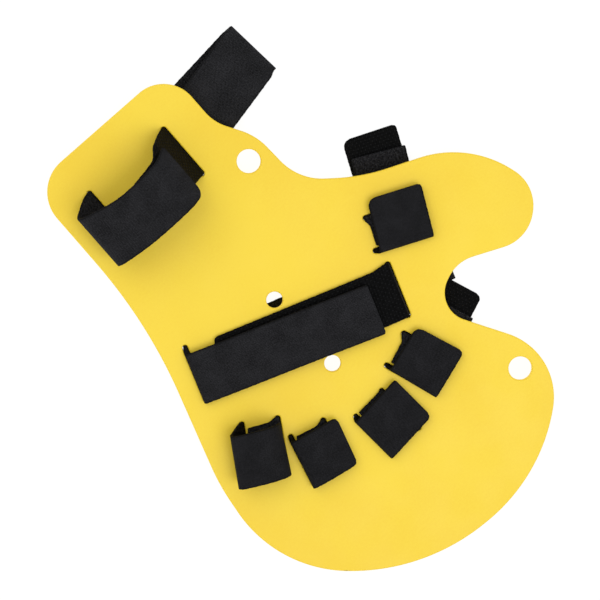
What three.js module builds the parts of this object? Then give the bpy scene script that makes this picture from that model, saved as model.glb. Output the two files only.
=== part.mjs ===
import * as THREE from 'three';
import { mergeVertices } from 'three/addons/utils/BufferGeometryUtils.js';

// A hand splint: a flat mitten-shaped board with webbing straps laced through slots in it.
// Lengths are in millimetres. While it is built, x = 0 is the forearm's middle line and y = 0
// the wrist end. +Y runs from the wrist to the fingertips, +X to the little finger, +Z up to the hand.

// Sizes of the board
const plateLength = 266;
const plateWidth = 208;
const plateThickness = 3;
const plateEdgeRound = 0.7;
const largeHole = 11.4;
const smallHole = 7.9;

// Sizes of the webbing
const webThickness = 1.5;
const layerGap = 0.3;
const wristWidth = 29;
const palmWidth = 25;
const thumbWidth = 27.1;
const fingerWidth = 26;
const palmHookExtra = 2;
const slotClearance = 0.5;
const bendInside = 0.5;

// How much longer than the webbing's width its slots are. Webbing spreads in a slot until it is
// slotFill shorter than the slot. A finger strap's slots lie a little to one side of its station.
const wristPlay = 0.9;
const palmPlay = 3.8;
const fingerPlay = 1.9;
const slotFill = 0.9;
const fingerSlotShift = -0.75;

// Distances between the two slots of each strap, centre to centre
const wristSlotGap = 46.3;
const palmSlotGap = 104.9;
const thumbSlotGap = 16.4;
const fingerSlotGap = 17.5;

// Height of the wrist loop's crown over the board, and the length of slack folded behind the board
const wristLoopHeight = 24;
const wristSlack = 57.6;
const palmSlack = 27.9;

// How far the palm strap's two ends reach from its middle, as shares of its slot gap
const palmFreeEnd = 0.373;
const palmHiddenEnd = 0.37;

// The palm strap's upper layer: its lift at the free end and at its crown, the round of that crown,
// its fold outside the near slot and its extra width
const palmFreeLift = 0.4;
const palmCrownLift = 0.9;
const palmCrownRound = 60;
const palmFold = 1.8;
const palmTopExtra = 0.6;

// A finger strap's low arch: its share of rise over the far slot, and its rounds there and at its crown
const archFoot = 0.55;
const archFootRound = 9;
const archCrownRound = 14;

// Bands lie in up to four layers under the board, the lowest on what the splint lies on
const layerPitch = webThickness + layerGap;
const layersUnder = 4;
const plateBottom = layersUnder * layerPitch;
const plateTop = plateBottom + plateThickness;
const slotWidth = webThickness + 2 * slotClearance;
const bendRadius = webThickness / 2 + bendInside;

// Facets: the turn of each step round a band's bend and along the outline, and steps round holes
const arcStep = THREE.MathUtils.degToRad(18);
const outlineStep = THREE.MathUtils.degToRad(6);
const arcLength = 7;
const leanStep = 5;
const holeSteps = 24;
const slotEndSteps = 6;

const yellowPlastic = { color: 0xf9d94c, roughness: 0.38, metalness: 0 };
const blackWebbing = { color: 0x252527, roughness: 0.9, metalness: 0 };

// Corners of the board's outline, each rounded by its own radius. x is a share of the board's
// width, y and round are shares of its length.
const outline = [
  { at: 'wrist corner, little finger side', x: 0.2955, y: 0.002, round: 0.072 },
  { at: 'wrist corner, thumb side', x: -0.116, y: 0, round: 0.066 },
  { at: 'foot of the lobe round the first hole', x: -0.117, y: 0.126, round: 0.086 },
  { at: 'shoulder of that lobe', x: -0.17, y: 0.193, round: 0.113 },
  { at: 'root of the thumb', x: -0.178, y: 0.303, round: 0.105 },
  { at: 'thumb, inner side', x: -0.293, y: 0.374, round: 0.35 },
  { at: 'thumb, outer side', x: -0.531, y: 0.451, round: 0.199 },
  { at: 'thumb tip, lower', x: -0.5868, y: 0.5925, round: 0.075 },
  { at: 'thumb tip, upper', x: -0.4925, y: 0.6582, round: 0.075 },
  { at: 'start of the web', x: -0.3305, y: 0.6022, round: 0.071 },
  { at: 'bottom of the web', x: -0.219, y: 0.641, round: 0.052 },
  { at: 'index finger side', x: -0.383, y: 0.8555, round: 0.124 },
  { at: 'fingertips, index end', x: -0.155, y: 1.0065, round: 0.331 },
  { at: 'fingertips, little finger end', x: 0.199, y: 0.9975, round: 0.383 },
  { at: 'little finger side', x: 0.451, y: 0.813, round: 0.252 },
  { at: 'little finger side, below the knuckle', x: 0.4208, y: 0.627, round: 0.414 },
  { at: 'heel of the hand', x: 0.2976, y: 0.318, round: 0.93 },
];

// Round holes, placed by the same shares
const roundHoles = [
  { at: 'lobe by the wrist', x: -0.119, y: 0.219, diameter: largeHole },
  { at: 'index fingertip side', x: -0.283, y: 0.827, diameter: largeHole },
  { at: 'palm, above the palm strap', x: 0.039, y: 0.594, diameter: smallHole },
  { at: 'palm, under the palm strap', x: 0.044, y: 0.438, diameter: smallHole },
];

// Strap stations, each with the middle between its two slots, its turn in degrees from +X, the gap
// between the slots, the webbing's width, the slots' play and their shift sideways. Local x runs
// from the far slot (-) to the near slot (+). The first four are placed by shares of the board.
const stations = {
  wrist: { x: 0.0914, y: 0.129, turn: 0, gap: wristSlotGap, width: wristWidth, play: wristPlay },
  palm: { x: 0.0522, y: 0.5074, turn: -18.7, gap: palmSlotGap, width: palmWidth, play: palmPlay },
  thumb: { x: -0.283, y: 0.483, turn: 66.4, gap: thumbSlotGap, width: thumbWidth, play: fingerPlay,
    slotShift: fingerSlotShift },
  middle: { x: 0.032, y: 0.744, turn: 4, gap: fingerSlotGap, width: fingerWidth, play: fingerPlay,
    slotShift: fingerSlotShift },
};

// The other fingers' stations fan out from the middle one, by shares of the webbing's width, so
// that the webbing keeps clear of its neighbours whatever the board's size
const fan = {
  index: { x: -1.176, y: -0.481, turn: 21 },
  ring: { x: 1.328, y: -0.42, turn: -14 },
  little: { x: 2.04, y: -1.166, turn: -31.5 },
};
Object.entries(fan).forEach(([name, { x, y, turn }]) => {
  const { middle: from } = stations;
  stations[name] = {
    ...from,
    x: from.x + x * fingerWidth / plateWidth,
    y: from.y + y * fingerWidth / plateLength,
    turn,
  };
});

// Finger and thumb straps, in millimetres past a slot, but for the layer, turns and arch.
// overlap: the hook strap's front end past the far slot. fold: its fold outside the near slot.
// arch: its rise over the board, and foldRise: the share of that at the fold.
// hookTail, loopTail: the two back ends past the far slot, where less than 0 runs back inwards.
// layer: the layer under the board in which the hook strap runs. Sideways: frontShift at the front
// end and at the fold, backShift and loopShift at the back ends, hiddenShift of the loop strap on
// the board, by its slot and at its end. turns: of the front end and the fold in degrees, backTurn
// and loopTurn: of the back ends. wide: how much wider the front lies. frontEnd, backEnd: rounds of
// corners.
const fingerStraps = {
  thumb: { overlap: 8.45, fold: 2.05, arch: 0.6, foldRise: 0.5, hookTail: 38, loopTail: 27.8, layer: 4,
    frontShift: [2.35, 1.1], backShift: 0.2, loopShift: 1.6, hiddenShift: [0.45, 0.45], turns: [0, 0],
    backTurn: 1, loopTurn: -2.5, wide: 0, frontEnd: [4, 2], backEnd: [4, 2] },
  index: { overlap: 5.85, fold: 2.65, arch: 0.8, foldRise: 0.5, hookTail: 33.4, loopTail: 21.9, layer: 2,
    frontShift: [2.95, 1.6], backShift: -0.6, loopShift: 0.6, hiddenShift: [0.45, 0.45], turns: [0, -2.9],
    backTurn: 0, loopTurn: 0, wide: 0.3, frontEnd: [3.6, 2.6], backEnd: [3.4, 3] },
  middle: { overlap: 8.3, fold: 4, arch: 0.8, foldRise: 0.5, hookTail: 26, loopTail: 7, layer: 4,
    frontShift: [-0.8, 0.3], backShift: -1, loopShift: -0.3, hiddenShift: [-1.3, -1.2], turns: [0, 0],
    backTurn: 0, loopTurn: 0, wide: -0.6, frontEnd: [0.8, 2.6], backEnd: [3, 3] },
  ring: { overlap: 5.6, fold: 1.3, arch: 3.2, foldRise: 0.75, hookTail: 10, loopTail: 7, layer: 2,
    frontShift: [-0.15, 0.75], backShift: -1, loopShift: -0.3, hiddenShift: [0.3, 0.3], turns: [-1.9, 0],
    backTurn: 0, loopTurn: 0, wide: -0.7, frontEnd: [2.6, 2.2], backEnd: [3, 3] },
  little: { overlap: 0.7, fold: 9.1, arch: 11, foldRise: 0.8, hookTail: 24, loopTail: -11, layer: 4,
    frontShift: [1.15, 2.75], backShift: -1, loopShift: -0.3, hiddenShift: [0.6, 1.7], turns: [3, 0],
    backTurn: 0, loopTurn: 0, wide: 0, frontEnd: [1, 1], backEnd: [3, 3] },
};

// The middle height of the webbing in a layer counted from the board, over or under it
const over = (layer) => plateTop + layerGap + webThickness / 2 + (layer - 1) * layerPitch;
const under = (layer) => plateBottom - layerGap - webThickness / 2 - (layer - 1) * layerPitch;

const placeX = (share) => share * plateWidth;
const placeY = (share) => share * plateLength;

// How far a path turns at a corner
function turnAt(before, corner, after) {
  const back = new THREE.Vector2(before.x - corner.x, before.y - corner.y);
  const ahead = new THREE.Vector2(after.x - corner.x, after.y - corner.y);
  return Math.PI - Math.acos(THREE.MathUtils.clamp(
    back.dot(ahead) / (back.length() * ahead.length()), -1, 1));
}

// The points of an arc that rounds a corner and touches both of its sides
function cornerArc(before, corner, after, radius, turn) {
  if (radius < 1e-3 || turn < 1e-3) return [{ ...corner }];
  const here = new THREE.Vector2(corner.x, corner.y);
  const back = new THREE.Vector2(before.x, before.y).sub(here).normalize();
  const ahead = new THREE.Vector2(after.x, after.y).sub(here).normalize();
  const reach = radius * Math.tan(turn / 2);
  const middle = back.clone().add(ahead).setLength(radius / Math.cos(turn / 2)).add(here);
  const first = back.clone().multiplyScalar(reach).add(here).sub(middle);
  const end = ahead.clone().multiplyScalar(reach).add(here).sub(middle);
  const side = Math.sign(first.cross(end));
  const steps = Math.max(2, Math.ceil(turn / (corner.step ?? arcStep)), Math.ceil(turn * radius / arcLength));
  return Array.from({ length: steps + 1 }, (_, i) => {
    const p = first.clone().rotateAround(new THREE.Vector2(), side * turn * i / steps).add(middle);
    return { ...corner, x: p.x, y: p.y };
  });
}

// The arcs that round the corners of a closed outline, or all but the two ends of an open path.
// Where two arcs have no room on the side between them, both radii are cut to fit it.
function roundedPath(corners, closed) {
  const count = corners.length;
  const isEnd = (i) => !closed && (i === 0 || i === count - 1);
  const neighbour = (i, step) => corners[(i + step + count) % count];
  const turns = corners.map((c, i) => (isEnd(i) ? 0 : turnAt(neighbour(i, -1), c, neighbour(i, 1))));
  const reaches = corners.map((c, i) => (c.round ?? 0) * Math.tan(turns[i] / 2));
  const fits = corners.map((c, i) => {
    const j = (i + 1) % count;
    const side = Math.hypot(corners[j].x - c.x, corners[j].y - c.y);
    return Math.min(1, side / Math.max(reaches[i] + reaches[j], 1e-6));
  });
  return corners.map((corner, i) => {
    if (isEnd(i)) return [{ ...corner }];
    const radius = (corner.round ?? 0) * Math.min(fits[i], fits[(i + count - 1) % count]);
    return cornerArc(neighbour(i, -1), corner, neighbour(i, 1), radius, turns[i]);
  });
}

// A closed solid from its corner positions and triangles
function solid(name, positions, triangles, finish) {
  const geometry = new THREE.BufferGeometry();
  geometry.setAttribute('position', new THREE.Float32BufferAttribute(positions, 3));
  geometry.setIndex(triangles);
  const mesh = new THREE.Mesh(geometry, new THREE.MeshStandardMaterial(finish));
  mesh.name = name;
  return mesh;
}

// Half the band's width at a distance from an end whose corner is rounded
function halfWidth(half, round, distance) {
  if (distance >= round) return half;
  return half - round + Math.sqrt(round * round - (round - distance) ** 2);
}

// A smooth curve through values at rising places, which never swings past them: at each value its
// slope is the harmonic mean of the slopes beside it, or 0 at a turning point
function smoothThrough(places, values) {
  const steps = places.slice(1).map((place, i) => Math.max(place - places[i], 1e-6));
  const slopes = steps.map((step, i) => (values[i + 1] - values[i]) / step);
  const tangents = values.map((_, i) => {
    const before = slopes[i - 1] ?? slopes[i];
    const after = slopes[i] ?? slopes[i - 1];
    return before * after > 0 ? 2 * before * after / (before + after) : 0;
  });
  return (place) => {
    const later = places.findIndex((other, i) => i > 0 && other >= place);
    const i = (later < 0 ? places.length - 1 : later) - 1;
    const t = THREE.MathUtils.clamp((place - places[i]) / steps[i], 0, 1);
    const rise = values[i + 1] - values[i];
    const bend = t * (1 - t) * ((1 - t) * tangents[i] - t * tangents[i + 1]) * steps[i];
    return values[i] + rise * t * t * (3 - 2 * t) + bend;
  };
}

// Points along a band: its corners rounded, then the straight stretches cut where the band leans,
// turns or widens, and near each end where the end's corners are rounded
function bandStations(corners, ends) {
  const traits = ['shift', 'yaw', 'wide'];
  const arcs = roundedPath(corners.map((c) => ({ ...c, y: c.z })), false);
  const points = [];
  const middles = [];
  let run = 0;
  arcs.forEach((arc, i) => {
    const last = points.at(-1);
    if (last) {
      const long = Math.hypot(arc[0].x - last.x, arc[0].y - last.y);
      const changes = traits.some((trait) => Math.abs(corners[i][trait] - corners[i - 1][trait]) > 0.05);
      const cuts = changes ? Math.ceil(long / leanStep) : 1;
      for (let k = 1; k < cuts; k += 1) {
        points.push(pointBetween(last, arc[0], k / cuts, run + long * k / cuts));
      }
      run += long;
    }
    const from = run;
    arc.forEach((p, k) => {
      if (k > 0) run += Math.hypot(p.x - arc[k - 1].x, p.y - arc[k - 1].y);
      points.push({ x: p.x, y: p.y, run });
    });
    middles.push((from + run) / 2);
  });
  const endCuts = ends.flatMap((rounds, end) => [1, 2, 3, 4].map((k) => {
    const distance = Math.max(...rounds) * (1 - Math.cos(k * Math.PI / 8));
    return end === 0 ? distance : run - distance;
  }));
  endCuts.forEach((cut) => {
    const i = points.findIndex((p) => p.run > cut);
    if (i < 1 || cut - points[i - 1].run < 0.05 || points[i].run - cut < 0.05) return;
    const share = (cut - points[i - 1].run) / (points[i].run - points[i - 1].run);
    points.splice(i, 0, pointBetween(points[i - 1], points[i], share, cut));
  });
  traits.forEach((trait) => {
    const curve = smoothThrough(middles, corners.map((corner) => corner[trait]));
    points.forEach((p) => {
      p[trait] = curve(p.run);
    });
  });
  return { points, run };
}

function pointBetween(a, b, share, run) {
  return { x: THREE.MathUtils.lerp(a.x, b.x, share), y: THREE.MathUtils.lerp(a.y, b.y, share), run };
}

// A band of webbing along a path of corners { x, z, round, shift, yaw, wide }. x and z place its
// middle line, shift moves it sideways, yaw turns it flat, in degrees, and wide widens it. ends
// holds the corner rounds of the first and the last end, each [on the -y side, on the +y side].
function band(name, width, corners, ends) {
  const filled = corners.map((c) => ({ shift: 0, yaw: 0, wide: 0, round: bendRadius, ...c }));
  const { points, run } = bandStations(filled, ends);
  const positions = [];
  const triangles = [];
  points.forEach((p, i) => {
    const a = points[Math.max(0, i - 1)];
    const b = points[Math.min(points.length - 1, i + 1)];
    const toHere = new THREE.Vector2(p.x - a.x, p.y - a.y).normalize();
    const toNext = new THREE.Vector2(b.x - p.x, b.y - p.y).normalize();
    const along = toHere.clone().add(toNext).normalize();
    const half = webThickness / 2 / Math.max(0.5, along.dot(i > 0 ? toHere : toNext));
    const up = new THREE.Vector3(-along.y, 0, along.x).multiplyScalar(half);
    const yaw = THREE.MathUtils.degToRad(p.yaw);
    const across = new THREE.Vector3(-Math.sin(yaw), Math.cos(yaw), 0);
    const widths = [0, 1].map((side) => Math.min(
      halfWidth((width + p.wide) / 2, ends[0][side], p.run),
      halfWidth((width + p.wide) / 2, ends[1][side], run - p.run)));
    const middle = new THREE.Vector3(p.x, p.shift, p.y);
    const low = middle.clone().addScaledVector(across, -widths[0]);
    const high = middle.clone().addScaledVector(across, widths[1]);
    [low.clone().add(up), high.clone().add(up), high.clone().sub(up), low.clone().sub(up)]
      .forEach((corner) => positions.push(corner.x, corner.y, corner.z));
  });
  const around = 4;
  for (let i = 0; i + 1 < points.length; i += 1) {
    for (let k = 0; k < around; k += 1) {
      const a = i * around + k;
      const b = i * around + (k + 1) % around;
      triangles.push(a, a + around, b, b, a + around, b + around);
    }
  }
  const last = (points.length - 1) * around;
  triangles.push(0, 1, 2, 0, 2, 3);
  triangles.push(last, last + 2, last + 1, last, last + 3, last + 2);
  return solid(name, positions, triangles, blackWebbing);
}

// A slot with round ends, across its station's middle line
function slotPath(station, side) {
  const turn = THREE.MathUtils.degToRad(station.turn);
  const centre = new THREE.Vector2(side * station.gap / 2, station.slotShift ?? 0)
    .rotateAround(new THREE.Vector2(), turn)
    .add(new THREE.Vector2(placeX(station.x), placeY(station.y)));
  const radius = slotWidth / 2;
  const straight = (station.width + station.play) / 2 - radius;
  const lengthwise = new THREE.Vector2(0, straight).rotateAround(new THREE.Vector2(), turn);
  const upperEnd = arcPoints(centre.clone().add(lengthwise), radius, turn, Math.PI, slotEndSteps);
  const lowerEnd = arcPoints(centre.clone().sub(lengthwise), radius, turn + Math.PI, Math.PI, slotEndSteps);
  return new THREE.Path([...upperEnd, ...lowerEnd]);
}

// Points round an arc, in equal steps
function arcPoints(centre, radius, from, sweep, steps) {
  return Array.from({ length: steps + 1 }, (_, i) => {
    const angle = from + sweep * i / steps;
    return new THREE.Vector2(centre.x + radius * Math.cos(angle), centre.y + radius * Math.sin(angle));
  });
}

// The board: its rounded outline less the round holes and the slots, with softened edges
function splintPlate() {
  const corners = outline.map((corner) => ({
    x: placeX(corner.x),
    y: placeY(corner.y),
    round: placeY(corner.round),
    step: outlineStep,
  }));
  const shape = new THREE.Shape(roundedPath(corners, true).flat().map((p) => new THREE.Vector2(p.x, p.y)));
  roundHoles.forEach((hole) => {
    const centre = new THREE.Vector2(placeX(hole.x), placeY(hole.y));
    const rim = arcPoints(centre, hole.diameter / 2, 0, 2 * Math.PI, holeSteps).slice(1);
    shape.holes.push(new THREE.Path(rim));
  });
  Object.values(stations).forEach((station) => {
    [-1, 1].forEach((side) => shape.holes.push(slotPath(station, side)));
  });
  const geometry = new THREE.ExtrudeGeometry(shape, {
    depth: plateThickness - 2 * plateEdgeRound,
    bevelEnabled: true,
    bevelThickness: plateEdgeRound,
    bevelSize: plateEdgeRound,
    bevelOffset: -plateEdgeRound,
    bevelSegments: 1,
  });
  geometry.deleteAttribute('normal');
  geometry.deleteAttribute('uv');
  geometry.translate(0, 0, plateBottom + plateEdgeRound);
  const merged = mergeVertices(geometry, 1e-4);
  const mesh = new THREE.Mesh(merged, new THREE.MeshStandardMaterial(yellowPlastic));
  mesh.name = 'splint_plate';
  return mesh;
}

// Puts pieces made round their own station into its place on the board
function atStation(station, ...pieces) {
  const group = new THREE.Group();
  group.position.set(placeX(station.x), placeY(station.y), 0);
  group.rotation.z = THREE.MathUtils.degToRad(station.turn);
  group.add(...pieces);
  return group;
}

// The way from a slot in which webbing has its width again
const tailLead = 5;

// A hook strap lies over the loop strap and the far slot with its rounded front end, folds down
// through the near slot, and runs back under the board past the far slot.
function hookStrap(name, station, strap) {
  const near = station.gap / 2;
  const front = over(2);
  const footHeight = front + strap.arch * archFoot;
  const foldHeight = front + strap.arch * strap.foldRise;
  const foldRound = bendRadius + 0.2 * strap.arch;
  const [frontX, foldX] = [-near - strap.overlap, near + strap.fold];
  const lean = (x) => THREE.MathUtils.mapLinear(x, frontX, foldX, ...strap.frontShift);
  const [frontTurn, foldTurn] = strap.turns;
  const { wide } = strap;
  const inSlot = { shift: station.slotShift, wide: station.play - slotFill };
  return band(`${name}_hook_strap`, station.width, [
    { x: frontX, z: front, shift: lean(frontX), yaw: frontTurn, wide },
    { x: -near, z: footHeight, shift: lean(-near), yaw: frontTurn, wide, round: archFootRound },
    { x: 0, z: front + strap.arch, shift: lean(0), wide, round: archCrownRound },
    { x: foldX, z: foldHeight, shift: lean(foldX), yaw: foldTurn, wide, round: foldRound },
    { ...inSlot, x: near, z: plateTop },
    { ...inSlot, x: near, z: under(strap.layer) },
    { x: near - tailLead, z: under(strap.layer) },
    { x: -near - strap.hookTail, z: under(strap.layer), shift: strap.backShift, yaw: strap.backTurn },
  ], [strap.frontEnd, strap.backEnd]);
}

// Rounds of a loop strap's cut corners
const loopEnd = [0.3, 0.3];

// A loop strap starts under the hook strap by the near slot, goes down through the far slot, and
// turns outwards, or back inwards, between the board and the hook strap.
function loopStrap(name, station, strap) {
  const near = station.gap / 2;
  const hidden = near - webThickness / 2 - layerGap - bendRadius;
  const layer = strap.layer - 1;
  const inSlot = { shift: station.slotShift, wide: station.play - slotFill };
  const [leadShift, endShift] = strap.hiddenShift;
  const share = Math.min(1, tailLead / Math.abs(strap.loopTail));
  const tail = (part) => ({
    x: -near - strap.loopTail * part,
    z: under(layer),
    shift: strap.loopShift * part,
    yaw: strap.loopTurn * part,
  });
  return band(`${name}_loop_strap`, station.width, [
    { x: hidden, z: over(1), shift: endShift },
    { x: -near + tailLead, z: over(1), shift: leadShift },
    { ...inSlot, x: -near, z: over(1) },
    { ...inSlot, x: -near, z: under(layer) },
    tail(share),
    tail(1),
  ], [loopEnd, loopEnd]);
}

// The wrist loop: heights over the board as shares of the loop's height, places along it as shares
// of the slot gap from the middle, and sideways leans as shares of the band's width. Where the loop
// is drawn up, the webbing is curled a little across and so looks narrower.
const wristUpperLayer = [
  { at: 'free end', along: -0.372, rise: 0.66, lean: 0.2, wide: 0, round: 0 },
  { at: 'shoulder', along: -0.209, rise: 0.93, lean: 0.272, wide: -1, round: 0.5 },
  { at: 'crown', along: 0.216, rise: 1.03, lean: 0.296, wide: -1.6, round: 1.3 },
  { at: 'fold', along: 0.855, rise: 0.62, lean: 0.19, wide: 0, round: 0.13 },
];
const wristLowerLayer = [
  { at: 'shoulder', along: -0.31, rise: 0.58, lean: 0.22, wide: -1, round: 0.35 },
  { at: 'hidden end', along: 0.095, rise: 0.84, lean: 0.296, wide: -1.6, round: 0 },
];

// The wrist strap is one band: free end, arch, near slot, under the board, slack folded past the
// far slot, far slot, and up under the arch again. Its two layers of slack run at their own angles
// to one fold.
const wristFoldShift = -15.2;
const wristFoldTurn = 5.9;
const wristOutTurn = 6.2;
const wristReturnTurn = 12.5;
const slotLead = 8;
const foldLead = 6;
const wristEnds = [[1, 4], [1, 1]];

function wristStrap() {
  const near = wristSlotGap / 2;
  const arched = ({ along, rise, lean, wide, round }) => ({
    x: along * wristSlotGap,
    z: plateTop + rise * wristLoopHeight,
    shift: lean * wristWidth,
    wide,
    round: round * wristSlotGap,
  });
  const fold = { x: -near - wristSlack, shift: wristFoldShift, yaw: wristFoldTurn, round: layerPitch };
  const straight = (turn, z) => [slotLead, 2 * slotLead, wristSlack - foldLead].map((out) => ({
    x: -near - out,
    z,
    shift: wristFoldShift + (wristSlack - out) * Math.tan(THREE.MathUtils.degToRad(turn)),
    yaw: turn,
  }));
  return band('wrist_strap', wristWidth, [
    ...wristUpperLayer.map(arched),
    { x: near, z: plateTop, round: 2 * bendRadius },
    { x: near, z: under(layersUnder) },
    ...straight(wristOutTurn, under(layersUnder)),
    { ...fold, z: under(layersUnder) },
    { ...fold, z: under(layersUnder - 2) },
    ...straight(wristReturnTurn, under(layersUnder - 2)).reverse(),
    { x: -near, z: under(layersUnder - 2) },
    { x: -near, z: plateTop, round: 2 * bendRadius },
    ...wristLowerLayer.map(arched),
  ], wristEnds);
}

// The palm strap is one band: its upper layer from the near slot lies over its lower layer from
// the far slot, and its slack is folded under the board past the far slot. Its sideways leans are
// shares of its width. palmRun is its run under the board, along it in shares of half the slot gap.
const palmRun = [
  { along: 0.38, share: -0.14 },
  { along: 0, share: -0.18 },
  { along: -1, share: -0.19 },
];
const palmHookShift = 0.9;
const palmEnds = [[0.6, 1.2], [3, 3]];

function palmStrap() {
  const near = palmSlotGap / 2;
  const lean = (share) => share * palmWidth;
  const slack = { x: -near - palmSlack, shift: lean(-0.235), round: layerPitch / 2 };
  const hooked = { wide: palmHookExtra, shift: palmHookShift };
  const top = { wide: palmTopExtra };
  const wide = palmPlay - slotFill;
  return band('palm_strap', palmWidth, [
    { ...top, x: -palmFreeEnd * palmSlotGap, z: over(2) + palmFreeLift, shift: lean(0.172) },
    { ...top, x: 0, z: over(2) + palmCrownLift, shift: lean(0.136), round: palmCrownRound },
    { ...top, x: near + palmFold, z: over(2), shift: lean(0.1) },
    { x: near, z: plateTop, wide },
    { x: near, z: under(layersUnder), wide },
    { x: near - tailLead, z: under(layersUnder) },
    ...palmRun.map(({ along, share }) => ({ x: along * near, z: under(layersUnder), shift: lean(share) })),
    { ...slack, z: under(layersUnder) },
    { ...slack, z: under(layersUnder - 1) },
    { x: -near, z: under(layersUnder - 1), wide },
    { x: -near, z: over(1), wide },
    { ...hooked, x: -near + 2 * tailLead, z: over(1) },
    { ...hooked, x: palmHiddenEnd * palmSlotGap, z: over(1) },
  ], palmEnds);
}

const splint = new THREE.Group();
splint.add(splintPlate());
splint.add(atStation(stations.wrist, wristStrap()));
splint.add(atStation(stations.palm, palmStrap()));
Object.entries(fingerStraps).forEach(([name, strap]) => {
  const station = stations[name];
  splint.add(atStation(station, hookStrap(name, station, strap), loopStrap(name, station, strap)));
});

// The origin is under the middle of the whole splint, on the surface that it lies on
const box = new THREE.Box3().setFromObject(splint, true);
const middle = box.getCenter(new THREE.Vector3());
splint.position.set(-middle.x, -middle.y, -box.min.z);

export default splint;
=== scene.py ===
# %% [markdown]
# A hand splint, as a lesson in cells
# The object is a flat mitten-shaped board of yellow plastic sheet. A hand is laid on it and held
# down by seven straps of black hook and loop webbing, which are laced through slots in the board.
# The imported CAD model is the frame: it fixes every size and place. This script builds the looks
# round it, one piece for each CAD node.

# %% Tools and the frame
import math

import bmesh
import bpy
import numpy as np
from mathutils import Matrix, Vector


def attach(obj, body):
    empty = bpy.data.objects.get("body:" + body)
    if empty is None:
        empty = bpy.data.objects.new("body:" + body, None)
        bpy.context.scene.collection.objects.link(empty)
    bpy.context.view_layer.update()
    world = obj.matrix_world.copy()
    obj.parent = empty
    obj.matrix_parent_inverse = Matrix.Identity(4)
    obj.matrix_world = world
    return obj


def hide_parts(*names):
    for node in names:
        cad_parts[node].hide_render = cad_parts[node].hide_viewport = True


MM = 0.001
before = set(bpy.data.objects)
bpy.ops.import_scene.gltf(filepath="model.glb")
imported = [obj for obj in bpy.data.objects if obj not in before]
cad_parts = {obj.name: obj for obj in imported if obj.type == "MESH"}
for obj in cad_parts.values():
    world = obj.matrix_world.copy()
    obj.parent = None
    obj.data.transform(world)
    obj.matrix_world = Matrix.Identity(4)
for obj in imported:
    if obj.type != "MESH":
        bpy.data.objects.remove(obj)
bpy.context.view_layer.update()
print("frame nodes:", sorted(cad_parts))

# %% [markdown]
# Where things lie
# The board's own plan is drawn from the middle line of the forearm and from the wrist end, so that
# its shape reads as shares of its length and width. Two numbers carry that plan into the frame.

# %% Sizes of the board and the webbing, in millimetres
MIDDLE_LINE = 14.563
WRIST_END = -133.368
BOARD_LENGTH = 266.0
BOARD_WIDTH = 208.0
BOARD_THICKNESS = 3.0
EDGE_ROUND = 0.7
LARGE_HOLE = 11.4
SMALL_HOLE = 7.9

WEB_THICKNESS = 1.5
LAYER_GAP = 0.3
WRIST_WIDTH = 29.0
PALM_WIDTH = 25.0
THUMB_WIDTH = 27.1
FINGER_WIDTH = 26.0
PALM_HOOK_EXTRA = 2.0
SLOT_CLEARANCE = 0.5
BEND_INSIDE = 0.5
WRIST_PLAY = 0.9
PALM_PLAY = 3.8
FINGER_PLAY = 1.9
FINGER_SLOT_SHIFT = -0.75
SLOT_FILL = 0.4
TAIL_LEAD = 5.0

WRIST_GAP = 46.3
PALM_GAP = 104.9
THUMB_GAP = 16.4
FINGER_GAP = 17.5

LAYERS_UNDER = 4
LAYER_PITCH = WEB_THICKNESS + LAYER_GAP
BOARD_BOTTOM = LAYERS_UNDER * LAYER_PITCH
BOARD_TOP = BOARD_BOTTOM + BOARD_THICKNESS
SLOT_WIDTH = WEB_THICKNESS + 2 * SLOT_CLEARANCE
BEND_RADIUS = WEB_THICKNESS / 2 + BEND_INSIDE

# A strap's station: the middle between its two slots as shares of the board's width and length,
# its turn in degrees from +X, the gap between the slots, the webbing's width, the slots' play and
# how far the slots lie to one side
STATIONS = {
    "wrist": (0.0914, 0.129, 0.0, WRIST_GAP, WRIST_WIDTH, WRIST_PLAY, 0.0),
    "palm": (0.0522, 0.5074, -18.7, PALM_GAP, PALM_WIDTH, PALM_PLAY, 0.0),
    "thumb": (-0.283, 0.483, 66.4, THUMB_GAP, THUMB_WIDTH, FINGER_PLAY, FINGER_SLOT_SHIFT),
    "middle": (0.032, 0.744, 4.0, FINGER_GAP, FINGER_WIDTH, FINGER_PLAY, FINGER_SLOT_SHIFT),
}
# The other fingers fan out from the middle one, by shares of the webbing's width
FAN = {"index": (-1.176, -0.481, 21.0), "ring": (1.328, -0.42, -14.0), "little": (2.04, -1.166, -31.5)}
for name, (x, y, turn) in FAN.items():
    middle_x, middle_y, _, *sizes = STATIONS["middle"]
    place = (middle_x + x * FINGER_WIDTH / BOARD_WIDTH, middle_y + y * FINGER_WIDTH / BOARD_LENGTH)
    STATIONS[name] = (*place, turn, *sizes)
print("stations:", ", ".join(STATIONS), "with the board's underside at", round(BOARD_BOTTOM, 1), "mm")


def plan_point(share_x, share_y):
    """A point of the board's plan in the frame, in millimetres: each share times the board's
    width or length, carried to the frame's origin."""
    return np.array([share_x * BOARD_WIDTH + MIDDLE_LINE, share_y * BOARD_LENGTH + WRIST_END])


# %% [markdown]
# The camera
# The photograph looks almost straight down on the board, from a little over a metre away, with the
# picture turned so that the wrist lies at the upper left. Seen from so far off, through a long
# lens, the raised straps hardly lean outwards.

# %% The camera
# Degrees, millimetres and pixels, and the clip in metres
VIEW_TILT = 7.4
VIEW_DISTANCE = 1150.0
PIXEL_SIZE = 0.478
FRAME_PIXELS = 600
SENSOR = 36.0
FAR_CLIP = 20.0
TARGET_FROM_WRIST = 124.5
VIEW_TARGET = (MIDDLE_LINE, WRIST_END + TARGET_FROM_WRIST, BOARD_TOP)
# The way from wrist to fingertips in the picture, as shares across and down
FINGERS_RIGHT = 0.655
FINGERS_DOWN = 0.756


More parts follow.
